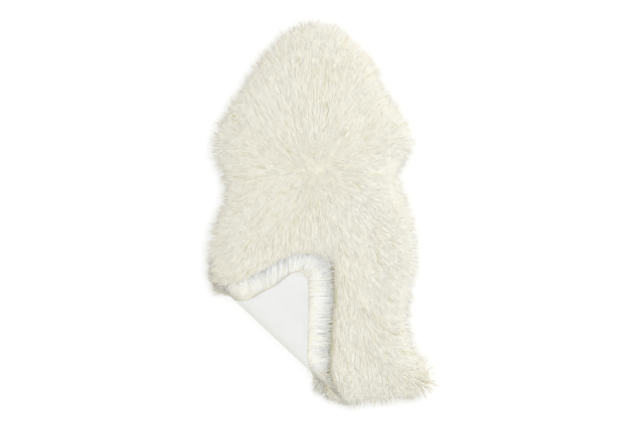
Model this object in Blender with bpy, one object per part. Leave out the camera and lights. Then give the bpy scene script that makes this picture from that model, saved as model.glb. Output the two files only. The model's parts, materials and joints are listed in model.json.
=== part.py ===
"""A sheepskin rug lying wool side up, with one hind corner turned over so that its leather side shows.

It is one tanned skin with its wool on, so it is one solid: the leather's underside below and the top of the wool
above. The skin is worked out flat, and the corner beyond the crease is then bent over onto the wool.
Metres, +Z up, +Y towards the neck. The origin is the middle of the rug's box, on the floor.
"""

import math
from collections import namedtuple

import bmesh
import bpy
import numpy as np

# Heights above the leather's underside, and the widths that go with them.
WOOL_HEIGHT = 0.046  # top of the wool where nothing presses on it
RIM_HEIGHT = 0.010  # the wool's blunt outermost rim
ROUNDING = 0.070  # how far in from the rim the wool has its full height
WOOL_REACH = 0.040  # how far the wool reaches past the leather's edge
SWELL = 0.002  # how uneven the top of the wool is

# The turned corner. The crease is the outermost line of the bend, seen from above.
CREASE_POINT = np.array([-0.224, -0.2095])
CREASE_TURN = math.radians(-43.2)  # from +X to the crease, towards the tail
BEND_RADIUS = 0.024  # of the leather round the bend
LAYER_GAP = 0.002  # between the wool of the corner and the wool that it lies on
PRESSED_HEIGHT = BEND_RADIUS - LAYER_GAP / 2  # of each layer of wool in the turned corner
PRESSED_ROUNDING = 0.040
DROOP = 0.006  # how far the corner's outermost wool hangs below its leather
BANK_START = 0.022  # how far outside the corner's rim the wool starts to rise again
BANK_SLOPE = 0.9  # how steeply it rises
SETTLING = 0.045  # how far in from the bend the wool gets back its own height

# How finely the solid is cut.
RIM_STEPS = (0.0, 0.006, 0.018, 0.038, 0.068)  # distances in from the rim
COLUMNS = 24
ROWS = 40
BEND_STEPS = 8
OUTLINE_STEPS = 160

WOOL_COLOUR = (0.80, 0.78, 0.68)
WOOL_ROUGHNESS = 0.90
LEATHER_COLOUR = (0.86, 0.87, 0.84)
LEATHER_ROUGHNESS = 0.75

# The skin laid flat, out to the tips of its wool: where each section across it starts, meets the spine and ends.
Section = namedtuple("Section", "place left_x left_y spine_x spine_y right_x right_y")
SECTIONS = (
    Section("neck end", -0.111, 0.432, -0.013, 0.474, 0.082, 0.423),
    Section("neck", -0.160, 0.376, -0.013, 0.369, 0.1215, 0.3785),
    Section("upper shoulder", -0.202, 0.310, -0.013, 0.295, 0.153, 0.310),
    Section("shoulder", -0.248, 0.241, -0.013, 0.227, 0.195, 0.244),
    Section("fore legs", -0.278, 0.165, -0.013, 0.158, 0.234, 0.175),
    Section("elbows", -0.258, 0.104, -0.013, 0.099, 0.1925, 0.104),
    Section("waist", -0.2435, 0.065, -0.013, 0.055, 0.1925, 0.077),
    Section("ribs", -0.253, 0.018, -0.011, 0.001, 0.212, 0.023),
    Section("flanks", -0.283, -0.058, -0.008, -0.067, 0.232, -0.058),
    Section("hips", -0.288, -0.121, -0.006, -0.141, 0.237, -0.121),
    Section("thighs", -0.283, -0.185, -0.003, -0.214, 0.2195, -0.200),
    Section("hocks", -0.295, -0.258, -0.003, -0.288, 0.2145, -0.268),
    Section("hind legs", -0.320, -0.317, -0.001, -0.349, 0.229, -0.330),
    Section("leg tips", -0.349, -0.386, 0.001, -0.415, 0.2855, -0.388),
    Section("tail end", -0.342, -0.471, 0.004, -0.4765, 0.281, -0.452),
)

# The tail's edge is drawn in beside the left hind leg.
HOLLOW_DEPTH = 0.030
HOLLOW_SHARES = (-0.95, -0.15, 0.10)  # where it starts, is deepest and ends, as shares of the half width
HOLLOW_PLACES = (11.5, 13.3)  # it grows from the first to the second place along SECTIONS

# Unit vectors along the floor: along the crease, and from the crease in towards the rug.
ALONG_CREASE = np.array([math.cos(CREASE_TURN), math.sin(CREASE_TURN)])
INTO_RUG = np.array([-ALONG_CREASE[1], ALONG_CREASE[0]])


def section_ends(place):
    """Left edge, spine and right edge at any place along the skin, by Catmull-Rom curves through the sections."""
    table = np.array([section[1:] for section in SECTIONS])
    table = np.vstack([2 * table[0] - table[1], table, 2 * table[-1] - table[-2]])
    first = np.clip(np.floor(place).astype(int), 0, len(SECTIONS) - 2)
    step = (np.asarray(place) - first)[:, None]
    before, start, end, after = (table[first + k] for k in range(4))
    found = start + 0.5 * step * (
        end - before
        + step * (2 * before - 5 * start + 4 * end - after)
        + step**2 * (3 * (start - end) + after - before)
    )
    return found[:, 0:2], found[:, 2:4], found[:, 4:6]


def eased(share):
    """0 up to 0 and 1 from 1, with a smooth rise between them."""
    share = np.clip(share, 0, 1)
    return share**2 * (3 - 2 * share)


def hollow(place, share):
    """How far the skin is drawn in from its tail's edge beside the left hind leg."""
    start, end = HOLLOW_PLACES
    return HOLLOW_DEPTH * eased(np.interp(share, HOLLOW_SHARES, (0, 1, 0))) * eased((place - start) / (end - start))


def across(place, share):
    """The flat skin's point at a share from -1, the left edge, through 0, the spine, to 1, the right edge."""
    left, spine, right = section_ends(place)
    drawn_in = hollow(np.asarray(place), np.asarray(share))
    share = np.asarray(share)[:, None]
    point = spine + share * (right - left) / 2 + share**2 * ((right + left) / 2 - spine)
    point[:, 1] += drawn_in
    return point


def outline():
    """The flat skin's edge as a closed loop of points: down the left, along the tail, up the right, over the neck."""
    last = len(SECTIONS) - 1
    down = np.linspace(0, last, OUTLINE_STEPS, endpoint=False)
    over = np.linspace(-1, 1, OUTLINE_STEPS // 3, endpoint=False)
    return np.concatenate([
        across(down, np.full(len(down), -1.0)),
        across(np.full(len(over), float(last)), over),
        across(last - down, np.full(len(down), 1.0)),
        across(np.zeros(len(over)), -over),
    ])


def edge_distance(points):
    """How far each flat point lies in from the rim of the wool. It is negative outside."""
    starts = outline()
    runs = np.roll(starts, -1, axis=0) - starts
    to_point = points[:, None, :] - starts[None, :, :]
    share = np.clip((to_point * runs).sum(2) / (runs**2).sum(1), 0, 1)
    distance = np.linalg.norm(to_point - share[..., None] * runs, axis=2).min(axis=1)
    ends = starts + runs
    crosses = (starts[:, 1] > points[:, None, 1]) != (ends[:, 1] > points[:, None, 1])
    rise = np.where(runs[:, 1] == 0, 1.0, runs[:, 1])
    cut_x = starts[:, 0] + (points[:, None, 1] - starts[:, 1]) / rise * runs[:, 0]
    inside = (crosses & (points[:, None, 0] < cut_x)).sum(axis=1) % 2 == 1
    return np.where(inside, distance, -distance)


def past_bend_start(points):
    """How far each flat point lies beyond the line where the skin leaves the floor."""
    return BEND_RADIUS + (CREASE_POINT - points) @ INTO_RUG


def rounded(distance, width):
    """A quarter circle: 0 at the rim, and 1 from width inwards."""
    return np.sqrt(1 - (1 - np.clip(distance / width, 0, 1)) ** 2)


def droop(distance):
    """How far the turned corner's wool hangs past its leather, most at the rim."""
    return DROOP * (1 - np.clip(distance / WOOL_REACH, 0, 1)) ** 2


def pressed_top(distance):
    """Height of the wool in the turned corner, at this distance in from its rim."""
    height = RIM_HEIGHT + (PRESSED_HEIGHT - RIM_HEIGHT) * rounded(distance, PRESSED_ROUNDING)
    return np.maximum(height, droop(distance) + RIM_HEIGHT)


def free_top(points, distance):
    """Height of the wool that nothing lies on, with its slow swells."""
    swell = np.sin(31 * points[:, 0] + 1.3) * np.sin(23 * points[:, 1] + 0.4)
    swell += 0.6 * np.sin(47 * points[:, 0] - 29 * points[:, 1])
    full = rounded(distance, ROUNDING)
    return RIM_HEIGHT + (WOOL_HEIGHT - RIM_HEIGHT) * full + SWELL * swell * full


def heights(points):
    """(lower, upper) surface heights of the solid above the flat leather, the lower one bent down past its edge."""
    distance = edge_distance(points)
    beyond = past_bend_start(points)
    # The flat point of the corner that comes to lie over each point of the rug, once it is turned.
    lies_over = points + (2 * beyond - math.pi * BEND_RADIUS)[:, None] * INTO_RUG
    covered = edge_distance(lies_over) + BANK_START
    ceiling = 2 * BEND_RADIUS - LAYER_GAP - pressed_top(np.maximum(covered, 0))
    ceiling += BANK_SLOPE * np.maximum(-covered, 0)
    settled = eased(-beyond / SETTLING)
    pressed = pressed_top(distance)
    upper = pressed + (np.minimum(free_top(points, distance), ceiling) - pressed) * settled
    lower = np.where(beyond > math.pi * BEND_RADIUS, droop(distance), 0.0)
    return lower, upper


def turned(points, height):
    """Bends flat points at a height above the leather round the crease, and lays what is beyond it over the rug."""
    beyond = past_bend_start(points)
    angle = np.clip(beyond / BEND_RADIUS, 0, math.pi)
    radius = BEND_RADIUS - height
    start_line = points + beyond[:, None] * INTO_RUG
    laid_back = np.maximum(beyond - math.pi * BEND_RADIUS, 0)
    out = laid_back - radius * np.sin(angle)
    bent = np.column_stack([
        start_line + out[:, None] * INTO_RUG,
        BEND_RADIUS - radius * np.cos(angle),
    ])
    flat = np.column_stack([points, height])
    return np.where((beyond > 0)[:, None], bent, flat)


def spaced(length, count):
    """count distances from 0 to length, with RIM_STEPS near both ends and even steps between."""
    near = np.array(RIM_STEPS) * min(1.0, 0.3 * length / RIM_STEPS[-1])
    middle = np.linspace(near[-1], length - near[-1], count - 2 * len(near) + 2)[1:-1]
    return np.concatenate([near, middle, length - near[::-1]])


def grid_points():
    """The flat skin's grid, ROWS by COLUMNS, with its lines close together near the rim."""
    fine = np.linspace(0, len(SECTIONS) - 1, OUTLINE_STEPS)
    spine = section_ends(fine)[1]
    travelled = np.concatenate([[0], np.cumsum(np.linalg.norm(np.diff(spine, axis=0), axis=1))])
    places = np.interp(spaced(travelled[-1], ROWS), travelled, fine)
    left, _, right = section_ends(places)
    rows = []
    for place, width in zip(places, np.linalg.norm(right - left, axis=1)):
        share = 2 * spaced(width, COLUMNS) / width - 1
        rows.append(across(np.full(COLUMNS, place), share))
    return np.array(rows)


def flat_skin():
    """The skin's flat outline as a mesh, with extra lines across the bend so that it turns smoothly."""
    skin = bmesh.new()
    bmesh.ops.create_grid(skin, x_segments=COLUMNS - 1, y_segments=ROWS - 1, size=1)
    places = grid_points()
    for vert in skin.verts:
        column = round((vert.co.x + 1) / 2 * (COLUMNS - 1))
        row = round((1 - vert.co.y) / 2 * (ROWS - 1))
        vert.co.xy = places[row, column]
    start = CREASE_POINT + BEND_RADIUS * INTO_RUG
    for step in range(BEND_STEPS + 1):
        line = start - math.pi * BEND_RADIUS * step / BEND_STEPS * INTO_RUG
        bmesh.ops.bisect_plane(
            skin,
            geom=skin.verts[:] + skin.edges[:] + skin.faces[:],
            plane_co=(*line, 0),
            plane_no=(*INTO_RUG, 0),
            dist=1e-4,
        )
    bmesh.ops.triangulate(skin, faces=skin.faces[:])
    return skin


def thicken_and_turn(skin):
    """Gives the flat skin its wool by an extrusion, then turns the corner over. Returns the leather side's faces."""
    leather = set(skin.faces)
    grown = bmesh.ops.extrude_face_region(skin, geom=skin.faces[:], use_keep_orig=True)["geom"]
    wool_verts = {part for part in grown if isinstance(part, bmesh.types.BMVert)}
    verts = skin.verts[:]
    points = np.array([vert.co.xy[:] for vert in verts])
    lower, upper = heights(points)
    on_top = np.array([vert in wool_verts for vert in verts])
    placed = turned(points, np.where(on_top, upper, lower))
    for vert, place in zip(verts, placed):
        vert.co = place
    bmesh.ops.recalc_face_normals(skin, faces=skin.faces[:])
    return leather


def finish(name, colour, roughness):
    material = bpy.data.materials.new(name)
    material.use_nodes = True
    shader = material.node_tree.nodes["Principled BSDF"]
    shader.inputs["Base Color"].default_value = (*colour, 1.0)
    shader.inputs["Roughness"].default_value = roughness
    shader.inputs["Metallic"].default_value = 0.0
    return material


def sheepskin():
    """The whole rug, as one solid with a wool side and a leather side."""
    skin = flat_skin()
    leather = thicken_and_turn(skin)
    for face in skin.faces:
        face.material_index = 1 if face in leather else 0
    mesh = bpy.data.meshes.new("sheepskin")
    skin.to_mesh(mesh)
    skin.free()
    mesh.materials.append(finish("wool", WOOL_COLOUR, WOOL_ROUGHNESS))
    mesh.materials.append(finish("leather", LEATHER_COLOUR, LEATHER_ROUGHNESS))
    mesh.shade_smooth()
    mesh.set_sharp_from_angle(angle=math.radians(50))
    return bpy.data.objects.new("sheepskin", mesh)


def main():
    for obj in list(bpy.data.objects):
        bpy.data.objects.remove(obj)
    parts = bpy.data.collections.new("sheepskin_rug")
    bpy.context.scene.collection.children.link(parts)
    parts.objects.link(sheepskin())


main()
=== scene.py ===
"""The looks of a sheepskin rug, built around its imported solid.

The rug is one tanned skin with its wool on. Here it is a sheet of leather, a woolly undercoat over it, and
the locks of long wool that grow through the undercoat. Each piece is worked out on the flat skin, as points
(x, y) with a height above the leather's underside. turned() then bends what lies beyond the crease over
onto the wool, so the pieces keep fitting each other. Metres, +Z up, +Y towards the neck.
"""

import json
import math
from collections import namedtuple

import bpy
import numpy as np
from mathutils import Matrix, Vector

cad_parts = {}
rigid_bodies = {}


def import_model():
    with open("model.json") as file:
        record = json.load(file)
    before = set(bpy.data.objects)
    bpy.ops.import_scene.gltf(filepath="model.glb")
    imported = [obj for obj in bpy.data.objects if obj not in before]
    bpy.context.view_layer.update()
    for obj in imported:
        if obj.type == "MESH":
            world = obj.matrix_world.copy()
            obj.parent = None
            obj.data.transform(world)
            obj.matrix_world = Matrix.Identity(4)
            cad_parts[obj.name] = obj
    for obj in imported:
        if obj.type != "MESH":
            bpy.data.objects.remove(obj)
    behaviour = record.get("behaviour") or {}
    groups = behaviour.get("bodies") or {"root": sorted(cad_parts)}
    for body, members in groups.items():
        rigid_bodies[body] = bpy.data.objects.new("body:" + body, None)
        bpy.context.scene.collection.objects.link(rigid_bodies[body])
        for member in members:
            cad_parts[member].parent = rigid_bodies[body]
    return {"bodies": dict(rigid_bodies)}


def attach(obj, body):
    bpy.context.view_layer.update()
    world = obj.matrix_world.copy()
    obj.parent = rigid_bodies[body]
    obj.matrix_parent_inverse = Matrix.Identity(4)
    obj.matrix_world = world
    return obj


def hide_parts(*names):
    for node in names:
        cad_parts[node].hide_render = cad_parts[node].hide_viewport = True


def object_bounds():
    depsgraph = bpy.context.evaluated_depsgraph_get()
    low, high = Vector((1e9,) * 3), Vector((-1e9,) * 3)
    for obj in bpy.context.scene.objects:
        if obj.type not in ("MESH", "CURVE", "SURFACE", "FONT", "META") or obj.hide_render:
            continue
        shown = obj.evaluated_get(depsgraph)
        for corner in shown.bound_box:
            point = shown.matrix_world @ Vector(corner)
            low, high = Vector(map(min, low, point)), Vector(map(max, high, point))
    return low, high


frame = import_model()
CAD_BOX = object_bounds()
BODY = next(iter(frame["bodies"]))

# The skin laid flat, out to the tips of its wool: where each section across it starts, meets the spine and
# ends.
Section = namedtuple("Section", "place left_x left_y spine_x spine_y right_x right_y")
SECTIONS = (
    Section("neck end", -0.111, 0.432, -0.013, 0.474, 0.082, 0.423),
    Section("neck", -0.160, 0.376, -0.013, 0.369, 0.1215, 0.3785),
    Section("upper shoulder", -0.202, 0.310, -0.013, 0.295, 0.153, 0.310),
    Section("shoulder", -0.248, 0.241, -0.013, 0.227, 0.195, 0.244),
    Section("fore legs", -0.278, 0.165, -0.013, 0.158, 0.234, 0.175),
    Section("elbows", -0.258, 0.104, -0.013, 0.099, 0.1925, 0.104),
    Section("waist", -0.2435, 0.065, -0.013, 0.055, 0.1925, 0.077),
    Section("ribs", -0.253, 0.018, -0.011, 0.001, 0.212, 0.023),
    Section("flanks", -0.283, -0.058, -0.008, -0.067, 0.232, -0.058),
    Section("hips", -0.288, -0.121, -0.006, -0.141, 0.237, -0.121),
    Section("thighs", -0.283, -0.185, -0.003, -0.214, 0.2195, -0.200),
    Section("hocks", -0.295, -0.258, -0.003, -0.288, 0.2145, -0.268),
    Section("hind legs", -0.320, -0.317, -0.001, -0.349, 0.229, -0.330),
    Section("leg tips", -0.349, -0.386, 0.001, -0.415, 0.2855, -0.388),
    Section("tail end", -0.342, -0.471, 0.004, -0.4765, 0.281, -0.452),
)
LAST = len(SECTIONS) - 1

# The tail's edge is drawn in beside the left hind leg.
HOLLOW_DEPTH = 0.030
HOLLOW_SHARES = (-0.95, -0.15, 0.10)  # where it starts, is deepest and ends, as shares of the half width
HOLLOW_PLACES = (11.5, 13.3)  # it grows from the first to the second place along SECTIONS

# Heights above the leather's underside, and the widths that go with them.
WOOL_HEIGHT = 0.046  # top of the wool where nothing presses on it
RIM_HEIGHT = 0.010  # top of the wool at its rim
ROUNDING = 0.070  # how far in from the rim the wool has its full height
WOOL_REACH = 0.044  # how far the wool reaches past the leather's edge

# The turned corner. The crease is the outermost line of the bend, seen from above.
CREASE_POINT = np.array([-0.224, -0.2095])
CREASE_TURN = math.radians(-43.2)  # from +X to the crease, towards the tail
BEND_RADIUS = 0.024  # of the leather round the bend
LAYER_GAP = 0.002  # between the wool of the corner and the wool that it lies on
PRESSED_HEIGHT = BEND_RADIUS - LAYER_GAP / 2  # of each layer of wool in the turned corner
PRESSED_ROUNDING = 0.040
PRESSED_RIM = 0.008  # height of the corner's wool at its rim
DROOP = 0.002  # how far the corner's outermost wool hangs below its leather
BANK_INSET = 0.014  # how far in under the corner's rim the rug's wool starts to rise again
BANK_SLOPE = 1.2  # how steeply it rises
SETTLING = 0.045  # how far in from the bend the wool gets back its own height
UNCOVERED = 0.012  # how far outside the corner's rim the bend no longer presses on it
OVERHANG = 0.040  # how far past the bend's start the rug's own wool reaches, at the ends of the bend
ALONG_CREASE = np.array([math.cos(CREASE_TURN), math.sin(CREASE_TURN)])
INTO_RUG = np.array([-ALONG_CREASE[1], ALONG_CREASE[0]])

# The leather, which ends inside the tips of the wool.
LEATHER_THICKNESS = 0.0022
LEATHER_PLACES = (0.62, 13.33)  # first and last section of the leather, counted along SECTIONS
LEATHER_GRID = (124, 76)  # rows along the skin and columns across it
CORNER_ROUNDING = 0.018
SIDE_CROWDING = 1.2  # how far round a sine the columns go, which crowds them near the sides
EDGE_WAVER = 0.0016  # how uneven the cut edge is
WAVER_WIDTH = 0.020  # how far in from the edge that dies out
CURL = 0.0035  # how far the turned corner's edge curls up off its wool
CURL_WIDTH = 0.016
SWELL = 0.0012  # how far the turned corner's leather rises and falls

# The undercoat, a solid bed of short wool that ends inside the tips of the long wool.
BED_SHARE = 0.95  # of the wool's height
BED_INSET = 0.031  # in from the tips of the wool
BED_PLACES = (0.43, 13.53)
BED_GRID = (110, 72)
BED_ROUNDING = 0.035
BED_EDGE = 0.002  # its thickness at its edge
BED_LUMPS = 0.01  # how uneven its top is, as a share of its height
FOOT_GAP = 0.0005  # between the leather and the bed's foot
FOOT_LIFT = 0.010  # how far the foot of the turned corner's bed rises, past the leather's edge
FOOT_EASING = 0.012  # the width in which it rises
STREAK_SCALES = (45, 30)  # how fine its streaks are across the wool's lay and along it

# How the long wool lies: away from a whorl on the shoulders, and square to the rim near it.
WHORL = np.array([-0.013, 0.105])
LENGTHWAYS = 1.5  # how much more it turns along the rug than across it
RIM_COMBING = (0.050, 0.120)  # within the first depth it runs to the rim, past the second it doesn't
RIM_PULL = 0.8
LAY_SPREAD = 0.07  # how far locks stray from that, in radians
WHORL_SPREAD = 1.8  # how much further they stray at the whorl
WHORL_SIZE = 0.035

# The locks, and the strands that each of them holds.
SEED = 11
LOCKS = 15400  # over the part of the rug that shows
STRANDS_PER_LOCK = 4
LOCK_RADIUS = 0.0050
DRAW = (0.0, 0.35)  # least and most that a lock's strands draw together towards its tip
WOOL_PIECES = ("neck", "shoulders", "waist", "hips", "tail")
COVER_LIMIT = 0.05  # how far in under the corner's rim the rug's locks still grow
OVERHANG_ROOTS = 0.4  # how far past the bend's start they do, as a share of the overhang
OVERHANG_TUCKED = 0.3  # the share of the overhang that is left where the corner lies over it
TUCKED_MARGIN = 0.006  # how far outside the corner's rim that counts as under it
CORNER_BAND = (0.042, 0.064)  # how deep in from the tips of the wool the corner's locks grow
RUG_SPREAD = 3 * LOCKS  # points spread over the skin, of which the first that show hold the rug's locks
CORNER_SPREAD = 9 * LOCKS  # the same for the corner's locks, which take all that lie in their band
LOOSE_SPREAD = 5 * LOCKS  # the same for the loose locks

# One strand.
STRAND_RADIUS = 0.00068
STRAND_RADII = (0.7, 1.35)  # least and greatest, as shares of it
STRAND_TAPER = np.array([1.0, 0.85])  # its radius at the two steps between its root and its tip
STRAND_STEPS = np.array([0.0, 0.36, 0.70, 1.0])  # from root to tip
LEAN = 0.060  # how far a strand's tip lies from its root
LEAN_SHARES = (0.7, 1.15)  # least and greatest, as shares of it
LEAN_AT_WHORL = 0.75  # as a share of it
LEAN_EASING = 0.09  # how far from the whorl it is whole again
RIM_LEANS = (0.90, 1.20)  # least and greatest near the rim, as shares of the way from the root to the rim
LEAN_STEPS = np.array([0.0, 0.24, 0.62, 1.0])  # how much of its lean it has at each step
LENGTH_SPREAD = 0.13
OPEN_RISE = np.array([0.60, 0.94, 1.0, 0.97])  # its height at each step, as shares of the wool's
CORNER_RISE = np.array([0.15, 0.50, 0.85, 1.0])  # the same in the turned corner
TOP_SINKING = 0.03  # how far below the wool's top the lowest locks end, as a share of its height
TOP_POWER = 1.5  # the higher, the fewer locks end low
CORNER_POWER = 1.2  # the higher, the nearer to the leather the corner's strands lie
RISE_SHARES = (0.97, 1.03)  # lowest and highest strand of a lock, as shares of its height
FLICK = 0.015  # how far a strand's tip strays up or down, as a share of the wool's height
BOW = 0.0012  # how far a strand bows to one side
LEAST_HEIGHT = 0.002  # of the wool over the leather, for strands
PILE_SHADING = 0.9  # how much of a strand's upper shading is that of the wool as a whole
RIM_FACING = 0.55  # how far the wool as a whole faces outwards at the rim, for 1 upwards
TONE_SPREAD = 0.14  # mean of how much deeper locks are than the palest
STRAND_TONE_SPREAD = 0.06
TONE_WIDTH = 0.012  # between a strand's two sides, so that its map isn't a line
NUDGE = 0.0005  # a step along a direction, by which it is turned with the skin

# Loose locks hang off the ends of the bend, where the leather's edge runs round it.
LOOSE_BAND = (0.040, 0.060)  # how deep in from the tips of the wool they grow
LOOSE_BEFORE = 0.030  # how far before the bend's start the first of them grow
LOOSE_THICKNESS = 0.030  # of the wool that they start from
LOOSE_END = 0.006  # height of the lowest of their tips
LOOSE_END_SPREAD = 0.006
LOOSE_END_RISE = 0.024  # how much higher their tips are where the bend ends
LOOSE_FALL = 1.6  # power of the curve in which they fall
LOOSE_TURNS = (0.22, 0.08)  # how far locks, and the strands of each, stray from the bend's way, in radians
LOOSE_LENGTHS = (0.75, 1.0)  # least and greatest, as shares of the way to the tips of the wool
LOOSE_LENGTH_SPREAD = 0.08
LOOSE_TONE_SPREAD = 0.08
LOOSE_FACING = 0.6  # how far they face along their way, for 1 upwards

# The wool parts in a dip beside the corner's tailward rim, and the dip is painted dark olive as painted
# shade.
PARTING_INSET = 0.001  # how far in under the rim the middle of the line lies
PARTING_WIDTH = 0.014
PARTING_DEPTH = 0.4  # of the wool's height

# The chart: a square grid over the flat skin, on which slow things are worked out once.
CHART_STEP = 0.005
CHART_LOW = np.array([-0.48, -0.60])
CHART_HIGH = np.array([0.42, 0.60])
OUTLINE_STEPS = 72

# The stage.
FLOOR_HALF_SIZE = 8.0
FLOOR_GAP = 0.0004  # between the floor and the rug
FLOOR_GREY = (0.38, 0.38, 0.38, 1.0)
FLOOR_GLOW = 0.67
ROOM_LIGHT = 0.765
KEY_PLACE = (1.5, 0.9, 2.8)  # from the middle of the rug
KEY_SIZE = 2.4
KEY_POWER = 42.0
CAMERA_PLACE = (-0.0157, -0.0049, 4.0)  # from there too
SENSOR_WIDTH = 36.0  # millimetres
VIEW_WIDTH = 1.553  # how wide a strip the camera sees at half the wool's height


# The flat skin and its turned corner


def section_ends(place):
    """Left edge, spine and right edge at any place along the skin, by Catmull-Rom curves through the
    sections."""
    table = np.array([section[1:] for section in SECTIONS])
    table = np.vstack([2 * table[0] - table[1], table, 2 * table[-1] - table[-2]])
    first = np.clip(np.floor(place).astype(int), 0, LAST - 1)
    step = (np.asarray(place) - first)[:, None]
    before, start, end, after = (table[first + k] for k in range(4))
    found = start + 0.5 * step * (
        end - before
        + step * (2 * before - 5 * start + 4 * end - after)
        + step**2 * (3 * (start - end) + after - before)
    )
    return found[:, 0:2], found[:, 2:4], found[:, 4:6]


def eased(share):
    """0 up to 0 and 1 from 1, with a smooth rise between them."""
    share = np.clip(share, 0, 1)
    return share**2 * (3 - 2 * share)


def hollow(place, share):
    """How far the skin is drawn in from its tail's edge beside the left hind leg."""
    start, end = HOLLOW_PLACES
    across_tail = eased(np.interp(share, HOLLOW_SHARES, (0, 1, 0)))
    return HOLLOW_DEPTH * across_tail * eased((place - start) / (end - start))


def across(place, share):
    """The flat skin's point at a share from -1, the left edge, through 0, the spine, to 1, the right edge."""
    left, spine, right = section_ends(place)
    drawn_in = hollow(np.asarray(place), np.asarray(share))
    share = np.asarray(share)[:, None]
    point = spine + share * (right - left) / 2 + share**2 * ((right + left) / 2 - spine)
    point[:, 1] += drawn_in
    return point


def outline():
    """The flat skin's edge as a closed loop of points: down the left, along the tail, up the right, over the
    neck."""
    down = np.linspace(0, LAST, OUTLINE_STEPS, endpoint=False)
    over = np.linspace(-1, 1, OUTLINE_STEPS // 3, endpoint=False)
    return np.concatenate([
        across(down, np.full(len(down), -1.0)),
        across(np.full(len(over), float(LAST)), over),
        across(LAST - down, np.full(len(down), 1.0)),
        across(np.zeros(len(over)), -over),
    ])


def chart_of_depth():
    """How far each point of the chart lies in from the tips of the wool: the least distance to the outline's
    runs, negative where a line to the right crosses the outline an even number of times."""
    columns, rows = np.rint((CHART_HIGH - CHART_LOW) / CHART_STEP).astype(int) + 1
    x = CHART_LOW[0] + CHART_STEP * np.arange(columns)
    y = CHART_LOW[1] + CHART_STEP * np.arange(rows)
    points = np.stack(np.meshgrid(x, y), axis=2).reshape(-1, 2).astype(np.float32)
    starts = outline().astype(np.float32)
    runs = np.roll(starts, -1, axis=0) - starts
    to_point = points[:, None, :] - starts[None, :, :]
    share = np.clip((to_point * runs).sum(2) / (runs**2).sum(1), 0, 1)
    distance = np.linalg.norm(to_point - share[..., None] * runs, axis=2).min(axis=1)
    crosses = (starts[:, 1] > points[:, None, 1]) != ((starts + runs)[:, 1] > points[:, None, 1])
    rise = np.where(runs[:, 1] == 0, 1.0, runs[:, 1])
    cut_x = starts[:, 0] + (points[:, None, 1] - starts[:, 1]) / rise * runs[:, 0]
    inside = (crosses & (points[:, None, 0] < cut_x)).sum(axis=1) % 2 == 1
    return np.where(inside, distance, -distance).reshape(rows, columns)


def read_off(chart, points):
    """A chart's value at any points, blended between its four nearest grid points."""
    place = (points - CHART_LOW) / CHART_STEP
    cell = np.clip(np.floor(place).astype(int), 0, np.array(chart.shape[::-1]) - 2)
    part = np.clip(place - cell, 0, 1)
    column, row = cell[..., 0], cell[..., 1]
    right, up = part[..., 0], part[..., 1]
    below = chart[row, column] * (1 - right) + chart[row, column + 1] * right
    above = chart[row + 1, column] * (1 - right) + chart[row + 1, column + 1] * right
    return below * (1 - up) + above * up


def smoothed(chart, times):
    """A chart averaged with its neighbours up, down, left and right, several times over."""
    for _ in range(times):
        wide = np.pad(chart, 1, mode="edge")
        chart = (chart * 2 + wide[2:, 1:-1] + wide[:-2, 1:-1] + wide[1:-1, 2:] + wide[1:-1, :-2]) / 6
    return chart


DEPTH = chart_of_depth()
UPHILL = np.gradient(smoothed(DEPTH, 12), CHART_STEP)  # how the depth grows along y and along x


def past_bend_start(points):
    """How far each flat point lies beyond the line where the skin leaves the floor."""
    return BEND_RADIUS + (CREASE_POINT - points) @ INTO_RUG


def lies_over(points):
    """The flat point of the corner that comes to lie over each point of the rug once the corner is turned."""
    beyond = past_bend_start(points)
    return points + (2 * beyond - math.pi * BEND_RADIUS)[..., None] * INTO_RUG


def rounded(distance, width):
    """A quarter circle: 0 at the rim, and 1 from width inwards."""
    return np.sqrt(1 - (1 - np.clip(distance / width, 0, 1)) ** 2)


def droop(depth):
    """How far the turned corner's wool hangs past its leather, most at the rim."""
    return DROOP * (1 - np.clip(depth / WOOL_REACH, 0, 1)) ** 2


def pressed_top(depth):
    """Height of the wool in the turned corner, at this depth in from its rim."""
    return PRESSED_RIM + (PRESSED_HEIGHT - PRESSED_RIM) * rounded(depth, PRESSED_ROUNDING)


def open_top(points):
    """Height of the wool over the part of the skin that stays flat: a quarter circle from the rim in, lower
    under the turned corner and for a little way round it, and lowest in the parting."""
    covered = read_off(DEPTH, lies_over(points)) - BANK_INSET
    ceiling = 2 * BEND_RADIUS - LAYER_GAP - pressed_top(np.maximum(covered, 0))
    ceiling = ceiling + BANK_SLOPE * np.maximum(-covered, 0)
    free = RIM_HEIGHT + (WOOL_HEIGHT - RIM_HEIGHT) * rounded(read_off(DEPTH, points), ROUNDING)
    return np.minimum(free, ceiling) * (1 - PARTING_DEPTH * parting(points))


def wool_heights(points):
    """(lowest, highest) height of the wool at flat points: the open height, which settles to the pressed
    height at the bend where the corner covers it, and the pressed height from there on."""
    depth = read_off(DEPTH, points)
    beyond = past_bend_start(points)
    uncovered = eased(-read_off(DEPTH, lies_over(points)) / UNCOVERED) * (beyond < 0)
    settled = np.maximum(eased(-beyond / SETTLING), uncovered)
    pressed = pressed_top(depth)
    highest = pressed + (open_top(points) - pressed) * settled
    laid_back = beyond > math.pi * BEND_RADIUS
    return np.where(laid_back, droop(depth), 0.0) + LEATHER_THICKNESS, highest


def parting(points):
    """How strongly the wool parts at flat points, from 0 to 1: a bell curve of the distance from the rim of
    the corner that lies over them, on the side where that rim faces the tail."""
    above = lies_over(points)
    faces_tail = np.clip(2 * read_off(UPHILL[0], above) - 1, 0, 1)
    return faces_tail * np.exp(-(((read_off(DEPTH, above) - PARTING_INSET) / PARTING_WIDTH) ** 2))


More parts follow.
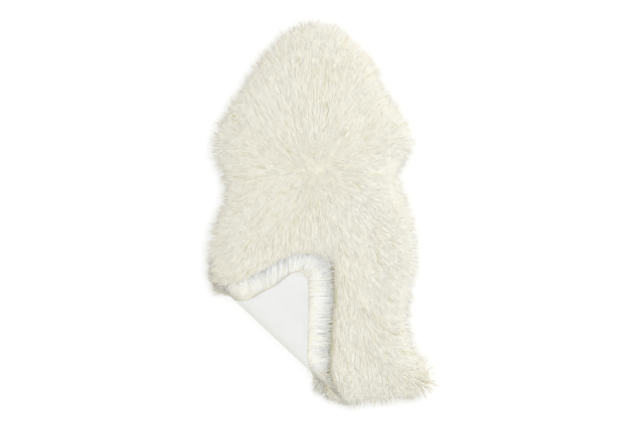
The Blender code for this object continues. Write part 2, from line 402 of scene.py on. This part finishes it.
def turned(points, height):
    """Bends flat points at a height above the leather round the crease: up to a half turn about an axis one
    bend radius above the floor, and what is further out is laid back over the rug."""
    beyond = past_bend_start(points)
    angle = np.clip(beyond / BEND_RADIUS, 0, math.pi)
    radius = BEND_RADIUS - height
    laid_back = np.maximum(beyond - math.pi * BEND_RADIUS, 0)
    out = beyond + laid_back - radius * np.sin(angle)
    bent = points + out[..., None] * INTO_RUG
    bent = np.concatenate([bent, (BEND_RADIUS - radius * np.cos(angle))[..., None]], axis=-1)
    flat = np.concatenate([points, height[..., None]], axis=-1)
    return np.where((beyond > 0)[..., None], bent, flat)


# Meshes

NO_TRIANGLES = np.empty((0, 3), int)


def built(name, points, quads, triangles, material):
    """A mesh object at the origin from whole arrays: points, then rows of four and rows of three point
    numbers."""
    mesh = bpy.data.meshes.new(name)
    corners = np.concatenate([quads.ravel(), triangles.ravel()])
    starts = np.concatenate([4 * np.arange(len(quads)), 4 * len(quads) + 3 * np.arange(len(triangles))])
    mesh.vertices.add(len(points))
    mesh.vertices.foreach_set("co", points.astype(np.float32).ravel())
    mesh.loops.add(len(corners))
    mesh.loops.foreach_set("vertex_index", corners.astype(np.int32))
    mesh.polygons.add(len(starts))
    mesh.polygons.foreach_set("loop_start", starts.astype(np.int32))
    mesh.update(calc_edges=True)
    mesh.shade_smooth()
    mesh.materials.append(material)
    piece = bpy.data.objects.new(name, mesh)
    bpy.context.scene.collection.objects.link(piece)
    return piece


def give_values(piece, name, values):
    """Stores a number, or a vector, for each point of a piece, for its material to read."""
    kind, field = ("FLOAT", "value") if values.ndim == 1 else ("FLOAT_VECTOR", "vector")
    layer = piece.data.attributes.new(name, kind, "POINT")
    layer.data.foreach_set(field, values.astype(np.float32).ravel())


def give_map(piece, name, places):
    """Stores a UV map from a place (u, v) for each point of a piece."""
    mesh = piece.data
    corner_points = np.empty(len(mesh.loops), np.int32)
    mesh.loops.foreach_get("vertex_index", corner_points)
    layer = mesh.uv_layers.new(name=name)
    layer.uv.foreach_set("vector", places[corner_points].astype(np.float32).ravel())


def grid_quads(rows, columns):
    """The quads of a grid of points, as point numbers, facing up where rows run down the skin and columns to
    the right."""
    corner = (np.arange(rows - 1)[:, None] * columns + np.arange(columns - 1)).ravel()
    return np.stack([corner, corner + columns, corner + columns + 1, corner + 1], axis=1)


def skin_grid(places, inset, grid):
    """A grid of flat points over the skin, an inset in from its side edges and between two places along it,
    its corners rounded and its columns closer together near the sides. Returns the points as (rows, columns,
    2) and each one's distance in from the grid's edge."""
    rows, columns = grid
    place = np.linspace(*places, rows)
    left, spine, right = section_ends(place)
    half_width = np.linalg.norm(right - left, axis=1) / 2
    travelled = np.concatenate([[0], np.cumsum(np.linalg.norm(np.diff(spine, axis=0), axis=1))])
    from_end = np.minimum(travelled, travelled[-1] - travelled)
    rounding = CORNER_ROUNDING * (1 - rounded(from_end, CORNER_ROUNDING))
    limit = 1 - (inset + rounding) / half_width
    share = np.sin(np.linspace(-1, 1, columns) * SIDE_CROWDING) / math.sin(SIDE_CROWDING)
    points = across(np.repeat(place, columns), (limit[:, None] * share).ravel()).reshape(rows, columns, 2)
    from_side = (limit * half_width)[:, None] * (1 - np.abs(share))
    return points, np.minimum(from_side, from_end[:, None])


# Materials


def new_material(name):
    """A node material, its tree and its Principled shader."""
    material = bpy.data.materials.new(name)
    material.use_nodes = True
    return material, material.node_tree, material.node_tree.nodes["Principled BSDF"]


def node(tree, kind, label="", **values):
    """Adds a node of a kind to a tree, setting its properties and, where no property has the name, its
    inputs."""
    made = tree.nodes.new(kind)
    made.label = label
    for name, value in values.items():
        if hasattr(made, name):
            setattr(made, name, value)
        else:
            made.inputs[name.replace("_", " ")].default_value = value
    return made


def mottle_group():
    """A soft cloudy pattern at two scales: two noises mixed, giving a mask and a colour between two
    others."""
    tree = bpy.data.node_groups.new("soft mottle", "ShaderNodeTree")
    for name, kind in (
        ("Vector", "NodeSocketVector"),
        ("Scale", "NodeSocketFloat"),
        ("Fine Scale", "NodeSocketFloat"),
        ("Fine Share", "NodeSocketFloat"),
        ("Dark", "NodeSocketColor"),
        ("Light", "NodeSocketColor"),
    ):
        tree.interface.new_socket(name, in_out="INPUT", socket_type=kind)
    tree.interface.new_socket("Color", in_out="OUTPUT", socket_type="NodeSocketColor")
    tree.interface.new_socket("Mask", in_out="OUTPUT", socket_type="NodeSocketFloat")
    given = tree.nodes.new("NodeGroupInput")
    result = tree.nodes.new("NodeGroupOutput")
    broad = node(tree, "ShaderNodeTexNoise", "broad clouds", Detail=2.0, Roughness=0.5)
    fine = node(tree, "ShaderNodeTexNoise", "fine clouds", Detail=3.0, Roughness=0.6)
    both = node(tree, "ShaderNodeMix", "both clouds", data_type="FLOAT")
    spread = node(tree, "ShaderNodeMapRange", "fuller range", From_Min=0.3, From_Max=0.7)
    colour = node(tree, "ShaderNodeMix", "dark to light", data_type="RGBA")
    link = tree.links.new
    for noise, scale in ((broad, "Scale"), (fine, "Fine Scale")):
        link(given.outputs["Vector"], noise.inputs["Vector"])
        link(given.outputs[scale], noise.inputs["Scale"])
    link(given.outputs["Fine Share"], both.inputs["Factor"])
    link(broad.outputs["Fac"], both.inputs["A"])
    link(fine.outputs["Fac"], both.inputs["B"])
    link(both.outputs["Result"], spread.inputs["Value"])
    link(spread.outputs["Result"], colour.inputs["Factor"])
    link(given.outputs["Dark"], colour.inputs[6])
    link(given.outputs["Light"], colour.inputs[7])
    link(colour.outputs[2], result.inputs["Color"])
    link(spread.outputs["Result"], result.inputs["Mask"])
    return tree


MOTTLE = mottle_group()


def mottle(tree, vector, scale, fine_scale, fine_share, dark, light):
    """Places the mottle group in a material's tree, with that material's own values."""
    made = tree.nodes.new("ShaderNodeGroup")
    made.node_tree = MOTTLE
    tree.links.new(vector, made.inputs["Vector"])
    made.inputs["Scale"].default_value = scale
    made.inputs["Fine Scale"].default_value = fine_scale
    made.inputs["Fine Share"].default_value = fine_share
    made.inputs["Dark"].default_value = (*dark, 1.0)
    made.inputs["Light"].default_value = (*light, 1.0)
    return made


def long_wool():
    """Wool strands: u of their map is the strand's tone, from olive through beige and cream to a cool white,
    and v runs from the root to the paler tip. The root is deeper and yellower, partly the wool's own tint and
    partly painted warm shade for the depth of the pile."""
    material, tree, shader = new_material("long_wool")
    places = node(tree, "ShaderNodeUVMap", "tone and root to tip", uv_map="OFBake")
    split = node(tree, "ShaderNodeSeparateXYZ", "tone, root to tip")
    tone = node(tree, "ShaderNodeValToRGB", "tone of the strand")
    ramp = tone.color_ramp
    ramp.elements[0].color = (0.74, 0.72, 0.46, 1.0)
    ramp.elements[1].color = (0.935, 0.945, 0.955, 1.0)
    for position, colour in (
        (0.15, (0.90, 0.84, 0.67, 1.0)),
        (0.35, (0.94, 0.905, 0.78, 1.0)),
        (0.70, (0.97, 0.958, 0.86, 1.0)),
        (0.86, (0.972, 0.964, 0.88, 1.0)),
    ):
        ramp.elements.new(position).color = colour
    depth = node(tree, "ShaderNodeMapRange", "towards the tip", From_Min=0.1, From_Max=0.8)
    shade = node(tree, "ShaderNodeMix", "deeper at the root", data_type="RGBA", blend_type="MULTIPLY")
    shade.inputs[0].default_value = 1.0
    # deeper and yellower towards the root: partly the wool's own tint, partly painted warm shade for the
    # depths of the pile
    deep = node(tree, "ShaderNodeMix", "root tint", data_type="RGBA")
    deep.inputs[6].default_value = (0.95, 0.925, 0.83, 1.0)
    deep.inputs[7].default_value = (1.0, 1.0, 1.0, 1.0)
    link = tree.links.new
    link(places.outputs["UV"], split.inputs["Vector"])
    link(split.outputs["X"], tone.inputs["Fac"])
    link(split.outputs["Y"], depth.inputs["Value"])
    link(depth.outputs["Result"], deep.inputs["Factor"])
    link(tone.outputs["Color"], shade.inputs[6])
    link(deep.outputs[2], shade.inputs[7])
    link(shade.outputs[2], shader.inputs["Base Color"])
    shader.inputs["Roughness"].default_value = 0.75
    shader.inputs["Specular IOR Level"].default_value = 0.25
    return material


def undercoat_wool():
    """The bed of wool: streaks that follow the way the wool lies, from the piece's own combed values, and
    dark olive where the wool parts: painted shade for the crevice of the parting."""
    material, tree, shader = new_material("undercoat_wool")
    combed = node(tree, "ShaderNodeAttribute", "combed", attribute_name="combed")
    # yellower than the strands: partly the undercoat's own tint, partly painted warm shade for the gaps
    # between strands where it shows
    dark, light = (0.91, 0.875, 0.71), (0.93, 0.905, 0.785)
    streaks = mottle(tree, combed.outputs["Vector"], 1.0, 3.0, 0.45, dark, light)
    bump = node(tree, "ShaderNodeBump", "streaks stand up", Strength=0.35, Distance=0.002)
    parting_shade = node(tree, "ShaderNodeAttribute", "in the parting", attribute_name="parting_shade")
    # painted shade: the bed turns dark olive in the parting, where its crevice lies in shade
    deep = node(tree, "ShaderNodeMix", "painted shade in the parting", data_type="RGBA")
    deep.inputs[7].default_value = (0.70, 0.67, 0.40, 1.0)
    link = tree.links.new
    link(parting_shade.outputs["Fac"], deep.inputs["Factor"])
    link(streaks.outputs["Color"], deep.inputs[6])
    link(deep.outputs[2], shader.inputs["Base Color"])
    link(streaks.outputs["Mask"], bump.inputs["Height"])
    link(bump.outputs["Normal"], shader.inputs["Normal"])
    shader.inputs["Roughness"].default_value = 0.9
    shader.inputs["Specular IOR Level"].default_value = 0.1
    return material


def suede():
    """The flesh side of the skin: near-white with faint clouds, a fine nap and a warmer cut edge, and paler
    and creamier round the fold: painted light that lifts the shade of the bend."""
    material, tree, shader = new_material("suede")
    places = node(tree, "ShaderNodeTexCoord", "on the piece")
    dark, light = (0.83, 0.835, 0.81), (0.86, 0.865, 0.855)
    clouds = mottle(tree, places.outputs["Object"], 9.0, 60.0, 0.35, dark, light)
    edge = node(tree, "ShaderNodeAttribute", "distance from the edge", attribute_name="from_edge")
    edge_mask = node(tree, "ShaderNodeMapRange", "at the edge", From_Min=0.0004, From_Max=0.0035)
    warm = node(tree, "ShaderNodeMix", "warm cut edge", data_type="RGBA")
    warm.inputs[6].default_value = (0.80, 0.765, 0.715, 1.0)
    # painted light: the suede turns a paler cream round the fold, where the bend turns away from the light
    fold = node(tree, "ShaderNodeAttribute", "round the fold", attribute_name="painted_fold_light")
    pale = node(tree, "ShaderNodeMix", "paler where stretched", data_type="RGBA")
    pale.inputs[7].default_value = (0.95, 0.945, 0.89, 1.0)
    nap = node(tree, "ShaderNodeTexNoise", "nap", Scale=900.0, Detail=4.0, Roughness=0.65)
    rough = node(tree, "ShaderNodeMapRange", "nap to roughness", To_Min=0.78, To_Max=0.95)
    fine_bump = node(tree, "ShaderNodeBump", "nap stands up", Strength=0.25, Distance=0.0006)
    slow_bump = node(tree, "ShaderNodeBump", "slow unevenness", Strength=0.35, Distance=0.004)
    link = tree.links.new
    link(edge.outputs["Fac"], edge_mask.inputs["Value"])
    link(edge_mask.outputs["Result"], warm.inputs["Factor"])
    link(clouds.outputs["Color"], warm.inputs[7])
    link(fold.outputs["Fac"], pale.inputs["Factor"])
    link(warm.outputs[2], pale.inputs[6])
    link(pale.outputs[2], shader.inputs["Base Color"])
    link(places.outputs["Object"], nap.inputs["Vector"])
    link(nap.outputs["Fac"], rough.inputs["Value"])
    link(rough.outputs["Result"], shader.inputs["Roughness"])
    link(clouds.outputs["Mask"], slow_bump.inputs["Height"])
    link(slow_bump.outputs["Normal"], fine_bump.inputs["Normal"])
    link(nap.outputs["Fac"], fine_bump.inputs["Height"])
    link(fine_bump.outputs["Normal"], shader.inputs["Normal"])
    shader.inputs["Specular IOR Level"].default_value = 0.2
    return material


# Pieces


def leather_sheet():
    """The tanned skin: a grid over the flat skin at height 0, its edge wavering by two sines of the place on
    it, curled up where the corner is turned and swelling by two crossed sines, then turned with it. Solidify
    gives it its thickness. Returned with its flat size and its flat area."""
    points, from_edge = skin_grid(LEATHER_PLACES, WOOL_REACH, LEATHER_GRID)
    x, y = points[..., 0], points[..., 1]
    waver = np.sin(61 * x + 47 * y) + 0.6 * np.sin(173 * x - 119 * y)
    near_edge = np.clip(1 - from_edge / WAVER_WIDTH, 0, 1)[..., None]
    middle = points.mean(axis=1, keepdims=True)
    outwards = (points - middle) / (np.linalg.norm(points - middle, axis=-1, keepdims=True) + 1e-9)
    points = points + EDGE_WAVER * waver[..., None] * near_edge * outwards
    x, y = points[..., 0], points[..., 1]
    beyond = past_bend_start(points)
    laid_back = np.clip(beyond / BEND_RADIUS - math.pi, 0, 1)
    curl = CURL * laid_back * np.clip(1 - from_edge / CURL_WIDTH, 0, 1) ** 2
    curl *= 1 + 0.5 * np.sin(83 * x + 71 * y)
    swell = SWELL * laid_back * np.sin(52 * x + 1.0) * np.sin(43 * y)
    placed = turned(points, -(curl + swell))
    rows, columns = LEATHER_GRID
    piece = built("leather", placed.reshape(-1, 3), grid_quads(rows, columns), NO_TRIANGLES, suede())
    give_values(piece, "from_edge", from_edge.ravel())
    # how far round the bend each point is, as a mask for the painted light that lifts the fold's shade
    give_values(piece, "painted_fold_light", np.sin(np.clip(beyond / BEND_RADIUS, 0, math.pi)).ravel())
    solid = piece.modifiers.new("thickness", "SOLIDIFY")
    solid.thickness = LEATHER_THICKNESS
    solid.offset = 1.0
    steps = np.diff(points, axis=0)[:, :-1], np.diff(points, axis=1)[:-1]
    area = np.abs(steps[0][..., 0] * steps[1][..., 1] - steps[0][..., 1] * steps[1][..., 0]).sum()
    size = np.ptp(points.reshape(-1, 2), axis=0)
    return piece, size, area


def towards_rim(points):
    """Vectors along the floor to the nearest rim, of length 1 or less."""
    return -np.stack([read_off(UPHILL[1], points), read_off(UPHILL[0], points)], axis=-1)


def turned_by(vectors, angle):
    """Vectors along the floor, each turned to the left by an angle."""
    cosine, sine = np.cos(angle), np.sin(angle)
    x, y = vectors[..., 0], vectors[..., 1]
    return np.stack([x * cosine - y * sine, x * sine + y * cosine], axis=-1)


def comb(points):
    """Unit vectors along which the wool lies: away from the whorl, more along the rug than across it, pulled
    towards the nearest rim close to it, and turned to and fro by slow sines."""
    away = (points - WHORL) * (1.0, LENGTHWAYS)
    away /= np.linalg.norm(away, axis=-1, keepdims=True) + 1e-6
    near, far = RIM_COMBING
    nearness = RIM_PULL * np.clip((far - read_off(DEPTH, points)) / (far - near), 0, 1)[..., None]
    lay = away * (1 - nearness) + nearness * towards_rim(points)
    lay /= np.linalg.norm(lay, axis=-1, keepdims=True) + 1e-6
    x, y = points[..., 0], points[..., 1]
    wander = 0.10 * np.sin(41 * x + 17 * y + 0.7) + 0.08 * np.sin(58 * y - 33 * x)
    wander = wander + 0.06 * np.sin(97 * x + 71 * y)
    return turned_by(lay, wander)


def undercoat():
    """The bed of wool: a grid over the flat skin for its top, at a share of the wool's height that falls in a
    quarter circle to its edge, and one for its foot just above the leather, joined round the edge, and
    turned. Past the leather's edge in the turned corner, where the foot faces up, it lies deeper in the wool,
    so that strands cover it."""
    rows, columns = BED_GRID
    points, from_edge = skin_grid(BED_PLACES, BED_INSET, BED_GRID)
    lowest, highest = wool_heights(points)
    full = (highest - lowest) * BED_SHARE
    x, y = points[..., 0], points[..., 1]
    lump = 1 + BED_LUMPS * np.sin(190 * x + 60 * y) * np.sin(160 * y)
    past_leather = eased((WOOL_REACH + FOOT_EASING / 2 - read_off(DEPTH, points)) / FOOT_EASING)
    foot = lowest + FOOT_GAP + FOOT_LIFT * past_leather * eased(past_bend_start(points) / BEND_RADIUS)
    top = foot + BED_EDGE + (full * lump - BED_EDGE) * rounded(from_edge, BED_ROUNDING)
    placed = np.concatenate([turned(points, top).reshape(-1, 3), turned(points, foot).reshape(-1, 3)])
    upper = grid_quads(rows, columns)
    number = np.arange(rows * columns).reshape(rows, columns)
    edge = np.concatenate([number[:-1, 0], number[-1, :-1], number[:0:-1, -1], number[0, :0:-1]])
    after = np.roll(edge, -1)
    wall = np.stack([edge, edge + rows * columns, after + rows * columns, after], axis=1)
    quads = np.concatenate([upper, upper[:, ::-1] + rows * columns, wall])
    piece = built("undercoat", placed, quads, NO_TRIANGLES, undercoat_wool())
    lay = comb(points)
    away = np.linalg.norm(points - WHORL, axis=-1, keepdims=True)
    combed = np.concatenate([lay * STREAK_SCALES[0], away * STREAK_SCALES[1]], axis=-1).reshape(-1, 3)
    give_values(piece, "combed", np.concatenate([combed, combed]))
    # mask for the painted shade of the parting's crevice, on the flat part only
    parting_shade = (parting(points) * (past_bend_start(points) < 0)).ravel()
    give_values(piece, "parting_shade", np.concatenate([parting_shade, parting_shade]))
    return piece


def evenly_spread(count):
    """count flat points spread evenly over the skin's box: multiples of the inverse of the plastic number and
    of its square, wrapped into it."""
    corners = outline()
    low, high = corners.min(axis=0), corners.max(axis=0)
    share = (np.arange(1, count + 1)[:, None] * (0.7548776662466927, 0.5698402909980532)) % 1
    return low + share * (high - low)


def lock_roots():
    """Where each lock of wool grows, in three lots of flat points, each picked from an even spread: over the
    part of the rug that shows, along the edge of the turned corner, and where the leather's edge runs round
    the bend and the locks hang loose."""
    spread = evenly_spread(RUG_SPREAD)
    beyond, covered = past_bend_start(spread), read_off(DEPTH, lies_over(spread))
    on_flat = (beyond < 0) & (covered < COVER_LIMIT)
    at_bend_ends = (beyond < OVERHANG_ROOTS * OVERHANG) & (covered < 0)
    rug = spread[(on_flat | at_bend_ends) & (read_off(DEPTH, spread) > WOOL_REACH)][:LOCKS]

    spread = evenly_spread(CORNER_SPREAD)
    depth, beyond = read_off(DEPTH, spread), past_bend_start(spread)
    corner = spread[(depth > CORNER_BAND[0]) & (depth < CORNER_BAND[1]) & (beyond > 0)]

    spread = evenly_spread(LOOSE_SPREAD)
    depth, beyond = read_off(DEPTH, spread), past_bend_start(spread)
    round_bend = (beyond > -LOOSE_BEFORE) & (beyond < math.pi * BEND_RADIUS)
    loose = spread[(depth > LOOSE_BAND[0]) & (depth < LOOSE_BAND[1]) & round_bend]
    return rug, corner, loose


def tone_of(points):
    """How pale the wool is, from 0 to 1: slow clouds; a little deeper on the left hip and along the tail and
    paler towards the right, partly the wool's own tone and partly painted light and shade; deepest in the
    parting, as painted shade for its crevice; and palest in the turned corner, where the wool's clean base
    shows."""
    x, y = points[..., 0], points[..., 1]
    tone = 0.58 + 0.07 * np.sin(19 * x + 0.5) * np.sin(14 * y + 1.1) + 0.05 * np.sin(33 * x - 27 * y)
    # deeper on the left hip and along the tail, paler to the right: partly the wool's own tone, partly
    # painted light on the right where the key light falls and painted shade on the left
    tone -= 0.10 * np.exp(-((x + 0.25) ** 2 + (y + 0.13) ** 2) / 0.006)
    tone -= 0.06 * np.exp(-((y + 0.43) ** 2) / 0.003)
    tone += 0.10 * np.clip(x / 0.2, 0, 1)
    # painted shade: the strands deepen towards olive in the parting's crevice
    tone -= 0.8 * parting(points) * (past_bend_start(points) < 0)
    return tone + 0.42 * eased(past_bend_start(points) / 0.06)


def pile_facing(points, up):
    """The way the wool as a whole faces, in flat space: up (1) or down (-1), leaning out over the rim."""
    near_rim = np.clip(1 - read_off(DEPTH, points) / ROUNDING, 0, 1)[..., None]
    lean = RIM_FACING * near_rim * towards_rim(points)
    facing = np.concatenate([lean, np.full(lean.shape[:-1] + (1,), up)], axis=-1)
    return facing / np.linalg.norm(facing, axis=-1, keepdims=True)


def shared_out(roots, chance):
    """Each strand's lock, as its number, and its start round the lock's root, even over a disc."""
    lock = np.repeat(np.arange(len(roots)), STRANDS_PER_LOCK)
    angle = chance.uniform(0, 2 * math.pi, len(lock))
    radius = LOCK_RADIUS * np.sqrt(chance.random(len(lock)))
    return lock, radius[:, None] * np.stack([np.cos(angle), np.sin(angle)], axis=1)


def combed_strands(roots, in_corner, chance):
    """Strands that lie along the comb, as centre lines of four points, the way the wool faces at each, and
    tones. The strands of a lock draw together towards its tip. Each step is carried along the comb by a share
    of the strand's lean, and its height is a share of the wool's height there, so the wool keeps its outline.
    In the corner they are turned with it and fill the whole thickness of the wool, because there its base is
    what shows. Elsewhere they stay flat, and stop short of hanging far over the ends of the bend."""
    count = len(roots)
    depth = read_off(DEPTH, roots)
    from_whorl = np.linalg.norm(roots - WHORL, axis=1)
    stray = LAY_SPREAD + WHORL_SPREAD * np.exp(-((from_whorl / WHORL_SIZE) ** 2))
    lay = turned_by(comb(roots), chance.normal(0, stray))
    at_whorl = LEAN_AT_WHORL + (1 - LEAN_AT_WHORL) * np.clip(from_whorl / LEAN_EASING, 0, 1)
    lean = LEAN * chance.uniform(*LEAN_SHARES, count) * at_whorl
    lean = np.minimum(lean, depth * chance.uniform(*RIM_LEANS, count))
    lift = 1 - TOP_SINKING * chance.random(count) ** TOP_POWER
    draw = chance.uniform(*DRAW, count)
    tone = tone_of(roots) + TONE_SPREAD - chance.exponential(TONE_SPREAD, count)

    lock, offset = shared_out(roots, chance)
    total = len(lock)
    reach = (lean[lock] * chance.normal(1, LENGTH_SPREAD, total))[:, None, None]
    if in_corner:
        rise = chance.random(total) ** CORNER_POWER
        rise_steps = CORNER_RISE
    else:
        rise = lift[lock] * chance.uniform(*RISE_SHARES, total)
        rise_steps = OPEN_RISE
    bow = chance.normal(0, BOW, total)[:, None, None]
    ahead = lay[lock][:, None, :]
    side = np.stack([-ahead[..., 1], ahead[..., 0]], axis=-1)
    gathered = offset[:, None, :] * (1 - draw[lock][:, None, None] * STRAND_STEPS[:, None])
    points = roots[lock][:, None, :] + gathered + ahead * reach * LEAN_STEPS[:, None]
    points = points + side * bow * np.sin(math.pi * STRAND_STEPS)[:, None]
    if in_corner:
        lowest, highest = wool_heights(points)
    else:
        in_the_open = read_off(DEPTH, lies_over(roots)) < -TUCKED_MARGIN
        limit = OVERHANG * np.where(in_the_open, 1.0, OVERHANG_TUCKED)
        past_limit = past_bend_start(points) - (limit[lock] * chance.uniform(0.5, 1.0, total))[:, None]
        points = points + np.maximum(past_limit, 0)[..., None] * INTO_RUG
        lowest, highest = LEATHER_THICKNESS, open_top(points)
    flick = np.concatenate([np.zeros((total, 3)), chance.normal(0, FLICK, (total, 1))], axis=1)
    share = np.clip(rise_steps * rise[:, None] + flick, 0.02, 1.10)
    heights = lowest + np.maximum(highest - lowest, LEAST_HEIGHT) * share

    facing = pile_facing(points, -1.0 if in_corner else 1.0)
    if in_corner:
        line = turned(points, heights)
        facing = turned(points + NUDGE * facing[..., :2], heights + NUDGE * facing[..., 2]) - line
        facing /= np.linalg.norm(facing, axis=-1, keepdims=True)
    else:
        line = np.concatenate([points, heights[..., None]], axis=-1)
    return line, facing, tone[lock] + chance.normal(0, STRAND_TONE_SPREAD, total)


def loose_strands(roots, chance):
    """Strands that leave the leather's edge where it runs round the bend, the way the bend points them, and
    fall in a power curve towards the floor. Returned as combed_strands() does."""
    lock, offset = shared_out(roots, chance)
    total = len(lock)
    points = (roots[lock] + offset)[:, None, :]
    angle = np.clip(past_bend_start(points) / BEND_RADIUS, 0, math.pi)[..., None]
    height = LEATHER_THICKNESS + LOOSE_THICKNESS * chance.random(total)[:, None]
    start = turned(points, height)
    out = towards_rim(points)
    along, inwards = out @ ALONG_CREASE, out @ INTO_RUG
    way = along[..., None] * ALONG_CREASE + np.cos(angle) * inwards[..., None] * INTO_RUG
    way /= np.linalg.norm(way, axis=-1, keepdims=True) + 1e-9
    lock_turn = chance.normal(0, LOOSE_TURNS[0], len(roots))[lock]
    way = turned_by(way, (lock_turn + chance.normal(0, LOOSE_TURNS[1], total))[:, None])
    reach = read_off(DEPTH, roots) * chance.uniform(*LOOSE_LENGTHS, len(roots))
    reach = (reach[lock] * chance.normal(1, LOOSE_LENGTH_SPREAD, total))[:, None, None]
    floor_points = start[..., :2] + way * reach * STRAND_STEPS[:, None]
    end = LOOSE_END + LOOSE_END_SPREAD * chance.random((total, 1)) + LOOSE_END_RISE * angle[..., 0] / math.pi
    heights = start[..., 2] + (end - start[..., 2]) * STRAND_STEPS**LOOSE_FALL
    line = np.concatenate([floor_points, heights[..., None]], axis=-1)
    outwards = LOOSE_FACING * np.broadcast_to(way, floor_points.shape)
    facing = np.concatenate([outwards, np.ones((total, 4, 1))], axis=-1)
    facing /= np.linalg.norm(facing, axis=-1, keepdims=True)
    return line, facing, tone_of(roots)[lock] + chance.normal(0, LOOSE_TONE_SPREAD, total)


def wool_piece(name, line, facing, tones, radii, material):
    """One mesh of many strands. Each strand is a spindle: a point at its root, a triangle across its centre
    line at each of the two steps between, flat side towards the way the wool faces, and a point at its tip.
    The flat side is shaded mostly as the wool as a whole is, and the ridge under it as itself."""
    count = len(line)
    along = np.stack([line[:, 2] - line[:, 0], line[:, 3] - line[:, 1]], axis=1)
    side = np.cross(facing[:, 1:3], along)
    side /= np.linalg.norm(side, axis=-1, keepdims=True) + 1e-9
    up = np.cross(along, side)
    up /= np.linalg.norm(up, axis=-1, keepdims=True) + 1e-9
    corner = (np.arange(3) / 3 - 0.25) * 2 * math.pi
    wide = radii[:, None, None, None] * STRAND_TAPER[:, None, None]
    own = np.cos(corner)[:, None] * side[:, :, None, :] + np.sin(corner)[:, None] * up[:, :, None, :]
    ring = line[:, 1:3, None, :] + wide * own
    placed = np.concatenate([line[:, :1], ring.reshape(count, 6, 3), line[:, 3:]], axis=1)
    pile_share = np.where(np.arange(6) % 3 == 0, 0.0, PILE_SHADING)[:, None]
    own = own.reshape(count, 6, 3)
    shading = pile_share * np.repeat(facing[:, 1:3], 3, axis=1) + (1 - pile_share) * own
    shading = np.concatenate([facing[:, :1], shading, facing[:, 3:]], axis=1)
    first = 8 * np.arange(count)[:, None, None]
    before, after = np.arange(3), (np.arange(3) + 1) % 3
    root, tip = np.zeros(3, int), np.full(3, 7)
    quads = np.stack([1 + before, 1 + after, 4 + after, 4 + before], axis=1)
    triangles = np.concatenate([
        np.stack([root, 1 + after, 1 + before], axis=1),
        np.stack([4 + before, 4 + after, tip], axis=1),
    ])
    piece = built(
        name,
        placed.reshape(-1, 3),
        (first + quads).reshape(-1, 4),
        (first + triangles).reshape(-1, 3),
        material,
    )
    u = np.clip(tones, 0.01, 0.96)[:, None] + TONE_WIDTH * np.array([1, 0, 1, 2, 0, 1, 2, 1])
    v = STRAND_STEPS[[0, 1, 1, 1, 2, 2, 2, 3]]
    give_map(piece, "OFBake", np.stack([u, np.broadcast_to(v, u.shape)], axis=-1).reshape(-1, 2))
    shading = shading.reshape(-1, 3)
    shading /= np.linalg.norm(shading, axis=1, keepdims=True) + 1e-12
    piece.data.normals_split_custom_set_from_vertices(shading)
    return piece


def all_long_wool():
    """The long wool as a few meshes: the turned corner's, the loose locks, and the rest in equal shares from
    the neck to the tail."""
    chance = np.random.default_rng(SEED)
    rug, corner, loose = lock_roots()
    line, facing, tones = combed_strands(rug, False, chance)
    order = np.argsort(-line[:, 0, 1], kind="stable")
    lots = [
        (name, line[ones], facing[ones], tones[ones])
        for name, ones in zip(WOOL_PIECES, np.array_split(order, len(WOOL_PIECES)))
    ]
    lots.append(("corner", *combed_strands(corner, True, chance)))
    lots.append(("loose", *loose_strands(loose, chance)))
    material = long_wool()
    pieces = []
    for name, line, facing, tones in lots:
        radii = STRAND_RADIUS * chance.uniform(*STRAND_RADII, len(line))
        pieces.append(wool_piece(f"wool_{name}", line, facing, tones, radii, material))
    return pieces


# The stage


def floor():
    """A plain pale floor just below the rug, lit from within as a light table is, so that the rug's shadow
    stays weak."""
    half = FLOOR_HALF_SIZE
    corners = np.array([[-half, -half, 0], [half, -half, 0], [half, half, 0], [-half, half, 0]])
    material, _, shader = new_material("floor_paint")
    shader.inputs["Base Color"].default_value = FLOOR_GREY
    shader.inputs["Roughness"].default_value = 0.9
    shader.inputs["Specular IOR Level"].default_value = 0.0
    shader.inputs["Emission Color"].default_value = (1.0, 1.0, 1.0, 1.0)
    shader.inputs["Emission Strength"].default_value = FLOOR_GLOW
    built("floor", corners - (0, 0, FLOOR_GAP), np.array([[0, 1, 2, 3]]), NO_TRIANGLES, material)


def area_light(name, place, aim, size, power):
    """A square soft light that faces a point."""
    light = bpy.data.lights.new(name, "AREA")
    light.size = size
    light.energy = power
    lamp = bpy.data.objects.new(name, light)
    lamp.location = place
    lamp.rotation_euler = (aim - lamp.location).to_track_quat("-Z", "Y").to_euler()
    bpy.context.scene.collection.objects.link(lamp)


def studio(centre):
    """Even white light from all round, and one large soft light from the upper right."""
    world = bpy.data.worlds.new("studio")
    world.use_nodes = True
    background = world.node_tree.nodes["Background"]
    background.inputs["Color"].default_value = (1.0, 1.0, 1.0, 1.0)
    background.inputs["Strength"].default_value = ROOM_LIGHT
    bpy.context.scene.world = world
    area_light("key", centre + Vector(KEY_PLACE), centre, KEY_SIZE, KEY_POWER)


def camera(centre):
    """A long lens straight above the rug."""
    data = bpy.data.cameras.new("camera")
    data.sensor_width = SENSOR_WIDTH
    data.lens = SENSOR_WIDTH * (CAMERA_PLACE[2] - WOOL_HEIGHT / 2) / VIEW_WIDTH
    eye = bpy.data.objects.new("camera", data)
    eye.location = centre + Vector(CAMERA_PLACE)
    bpy.context.scene.collection.objects.link(eye)
    bpy.context.scene.camera = eye


centre = (CAD_BOX[0] + CAD_BOX[1]) / 2
centre.z = 0
camera(centre)
studio(centre)
floor()
bpy.context.scene.view_settings.view_transform = "Standard"
bpy.context.scene.cycles.diffuse_bounces = 10

leather, flat_size, flat_area = leather_sheet()
bed = undercoat()
wool = all_long_wool()
for piece in (leather, bed, *wool):
    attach(piece, BODY)
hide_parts("sheepskin")
